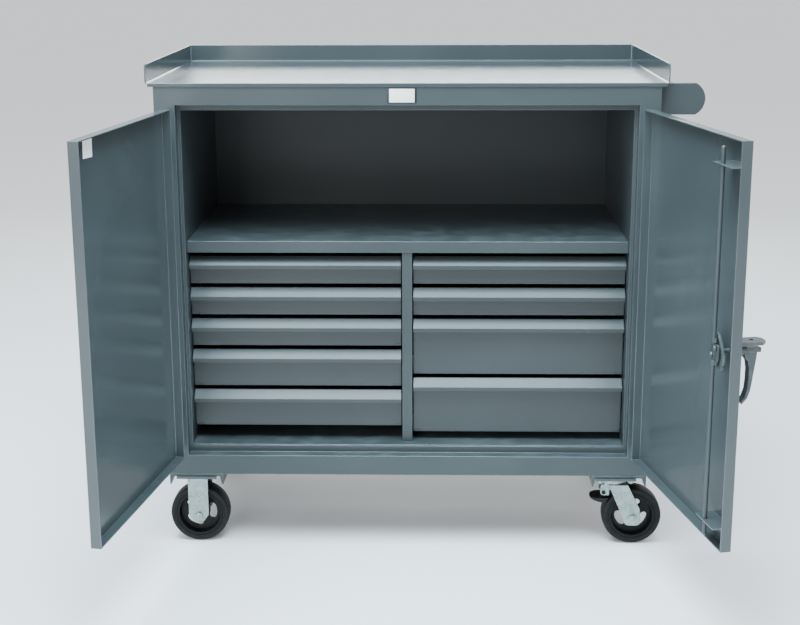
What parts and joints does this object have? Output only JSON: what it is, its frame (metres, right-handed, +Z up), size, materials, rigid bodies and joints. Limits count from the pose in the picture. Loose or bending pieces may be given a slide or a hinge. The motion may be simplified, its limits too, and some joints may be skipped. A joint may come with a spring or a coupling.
{
  "type": "tool cart",
  "caption": "Wheeled steel tool cabinet with a tray top, hinged doors with a rod latch, a shelf, sliding drawers, a push handle, and rigid and swivel casters.",
  "frame": {"origin": "on the floor, under the middle of the box that holds the cart with its doors open", "axes": "+X to the right seen from the front, across the doors; +Y to the back; +Z up"},
  "size_m": [1.4328, 1.2348, 1.24],
  "materials": {
    "paint": "satin grey-blue enamel",
    "zinc": "zinc plated",
    "lock_steel": "dull cast and turned steel",
    "tyre": "dark grey rubber",
    "wheel_core": "dark moulded core",
    "black_plastic": "black moulded pedal"
  },
  "bodies": {
    "body": {"worktop_tray": "paint", "front_frame": "paint", "left_side": "paint", "right_side": "paint", "back_panel": "paint", "base_pan": "paint", "left_liner": "paint", "right_liner": "paint", "back_liner": "paint", "floor_panel": "paint", "shelf": "paint", "centre_divider": "paint", "caster_channel_left": "paint", "caster_channel_right": "paint", "handle_bracket_front": "paint", "handle_bracket_rear": "paint", "push_grip": "paint", "left_hinge_pin_1": "lock_steel", "left_hinge_pin_2": "lock_steel", "right_hinge_pin_1": "lock_steel", "right_hinge_pin_2": "lock_steel", "left_front_fork": "zinc", "left_front_axle": "zinc", "left_rear_fork": "zinc", "left_rear_axle": "zinc", "right_front_plate": "zinc", "right_rear_plate": "zinc"},
    "left_door": {"left_door": "paint"},
    "right_door": {"right_door": "paint", "hasp": "lock_steel"},
    "latch": {"door_handle": "lock_steel", "lock_cam": "lock_steel"},
    "upper_rod": {"upper_lock_rod": "lock_steel"},
    "lower_rod": {"lower_lock_rod": "lock_steel"},
    "left_drawer_1": {"left_drawer_1": "paint"},
    "left_drawer_2": {"left_drawer_2": "paint"},
    "left_drawer_3": {"left_drawer_3": "paint"},
    "left_drawer_4": {"left_drawer_4": "paint"},
    "left_drawer_5": {"left_drawer_5": "paint"},
    "right_drawer_1": {"right_drawer_1": "paint"},
    "right_drawer_2": {"right_drawer_2": "paint"},
    "right_drawer_3": {"right_drawer_3": "paint"},
    "right_drawer_4": {"right_drawer_4": "paint"},
    "left_front_wheel": {"left_front_core": "wheel_core", "left_front_tyre": "tyre"},
    "right_front_swivel": {"right_front_fork": "zinc", "right_front_axle": "zinc"},
    "right_front_wheel": {"right_front_core": "wheel_core", "right_front_tyre": "tyre"},
    "right_front_brake": {"right_front_brake": "black_plastic"},
    "left_rear_wheel": {"left_rear_core": "wheel_core", "left_rear_tyre": "tyre"},
    "right_rear_swivel": {"right_rear_fork": "zinc", "right_rear_axle": "zinc"},
    "right_rear_wheel": {"right_rear_core": "wheel_core", "right_rear_tyre": "tyre"},
    "right_rear_brake": {"right_rear_brake": "black_plastic"}
  },
  "joints": [
    {"name": "left_door_hinge", "type": "hinge", "parent": "body", "child": "left_door", "pos_m": [-0.63383, -0.03405, 0.686], "axis": [0, 0, -1], "range_deg": [-98.76, 71]},
    {"name": "right_door_hinge", "type": "hinge", "parent": "body", "child": "right_door", "pos_m": [0.54017, -0.03405, 0.686], "axis": [0, 0, 1], "range_deg": [-101.88, 68]},
    {"name": "latch_turn", "type": "hinge", "parent": "right_door", "child": "latch", "pos_m": [0.6421, -0.55013, 0.686], "axis": [0.9786, 0.2059, 0], "range_deg": [0, 90]},
    {"name": "upper_rod_slide", "type": "slide", "parent": "right_door", "child": "upper_rod", "axis": [0, 0, 1], "range_m": [0, 0.0178]},
    {"name": "lower_rod_slide", "type": "slide", "parent": "right_door", "child": "lower_rod", "axis": [0, 0, -1], "range_m": [0, 0.0178]},
    {"name": "left_drawer_1_slide", "type": "slide", "parent": "body", "child": "left_drawer_1", "axis": [0, -1, 0], "range_m": [0, 0.38]},
    {"name": "left_drawer_2_slide", "type": "slide", "parent": "body", "child": "left_drawer_2", "axis": [0, -1, 0], "range_m": [0, 0.38]},
    {"name": "left_drawer_3_slide", "type": "slide", "parent": "body", "child": "left_drawer_3", "axis": [0, -1, 0], "range_m": [0, 0.38]},
    {"name": "left_drawer_4_slide", "type": "slide", "parent": "body", "child": "left_drawer_4", "axis": [0, -1, 0], "range_m": [0, 0.38]},
    {"name": "left_drawer_5_slide", "type": "slide", "parent": "body", "child": "left_drawer_5", "axis": [0, -1, 0], "range_m": [0, 0.38]},
    {"name": "right_drawer_1_slide", "type": "slide", "parent": "body", "child": "right_drawer_1", "axis": [0, -1, 0], "range_m": [0, 0.38]},
    {"name": "right_drawer_2_slide", "type": "slide", "parent": "body", "child": "right_drawer_2", "axis": [0, -1, 0], "range_m": [0, 0.38]},
    {"name": "right_drawer_3_slide", "type": "slide", "parent": "body", "child": "right_drawer_3", "axis": [0, -1, 0], "range_m": [0, 0.38]},
    {"name": "right_drawer_4_slide", "type": "slide", "parent": "body", "child": "right_drawer_4", "axis": [0, -1, 0], "range_m": [0, 0.38]},
    {"name": "left_front_spin", "type": "hinge", "parent": "body", "child": "left_front_wheel", "pos_m": [-0.58793, 0.02445, 0.0762], "axis": [0, 1, 0], "continuous": true},
    {"name": "left_rear_spin", "type": "hinge", "parent": "body", "child": "left_rear_wheel", "pos_m": [-0.58793, 0.53005, 0.0762], "axis": [0, 1, 0], "continuous": true},
    {"name": "right_front_turn", "type": "hinge", "parent": "body", "child": "right_front_swivel", "pos_m": [0.48627, 0.02445, 0.1719], "axis": [0, 0, 1], "continuous": true},
    {"name": "right_front_spin", "type": "hinge", "parent": "right_front_swivel", "child": "right_front_wheel", "pos_m": [0.53347, 0.02445, 0.0762], "axis": [0, 1, 0], "continuous": true},
    {"name": "right_front_brake_press", "type": "hinge", "parent": "right_front_swivel", "child": "right_front_brake", "pos_m": [0.45977, 0.02445, 0.1399], "axis": [0, -1, 0], "range_deg": [0, 11]},
    {"name": "right_rear_turn", "type": "hinge", "parent": "body", "child": "right_rear_swivel", "pos_m": [0.48627, 0.53005, 0.1719], "axis": [0, 0, 1], "continuous": true},
    {"name": "right_rear_spin", "type": "hinge", "parent": "right_rear_swivel", "child": "right_rear_wheel", "pos_m": [0.53347, 0.53005, 0.0762], "axis": [0, 1, 0], "continuous": true},
    {"name": "right_rear_brake_press", "type": "hinge", "parent": "right_rear_swivel", "child": "right_rear_brake", "pos_m": [0.45977, 0.53005, 0.1399], "axis": [0, -1, 0], "range_deg": [0, 11]}
  ],
  "couplings": [
    {"joint": "upper_rod_slide", "follows": "latch_turn", "m_per_rad": 0.011254},
    {"joint": "lower_rod_slide", "follows": "latch_turn", "m_per_rad": 0.011254}
  ]
}
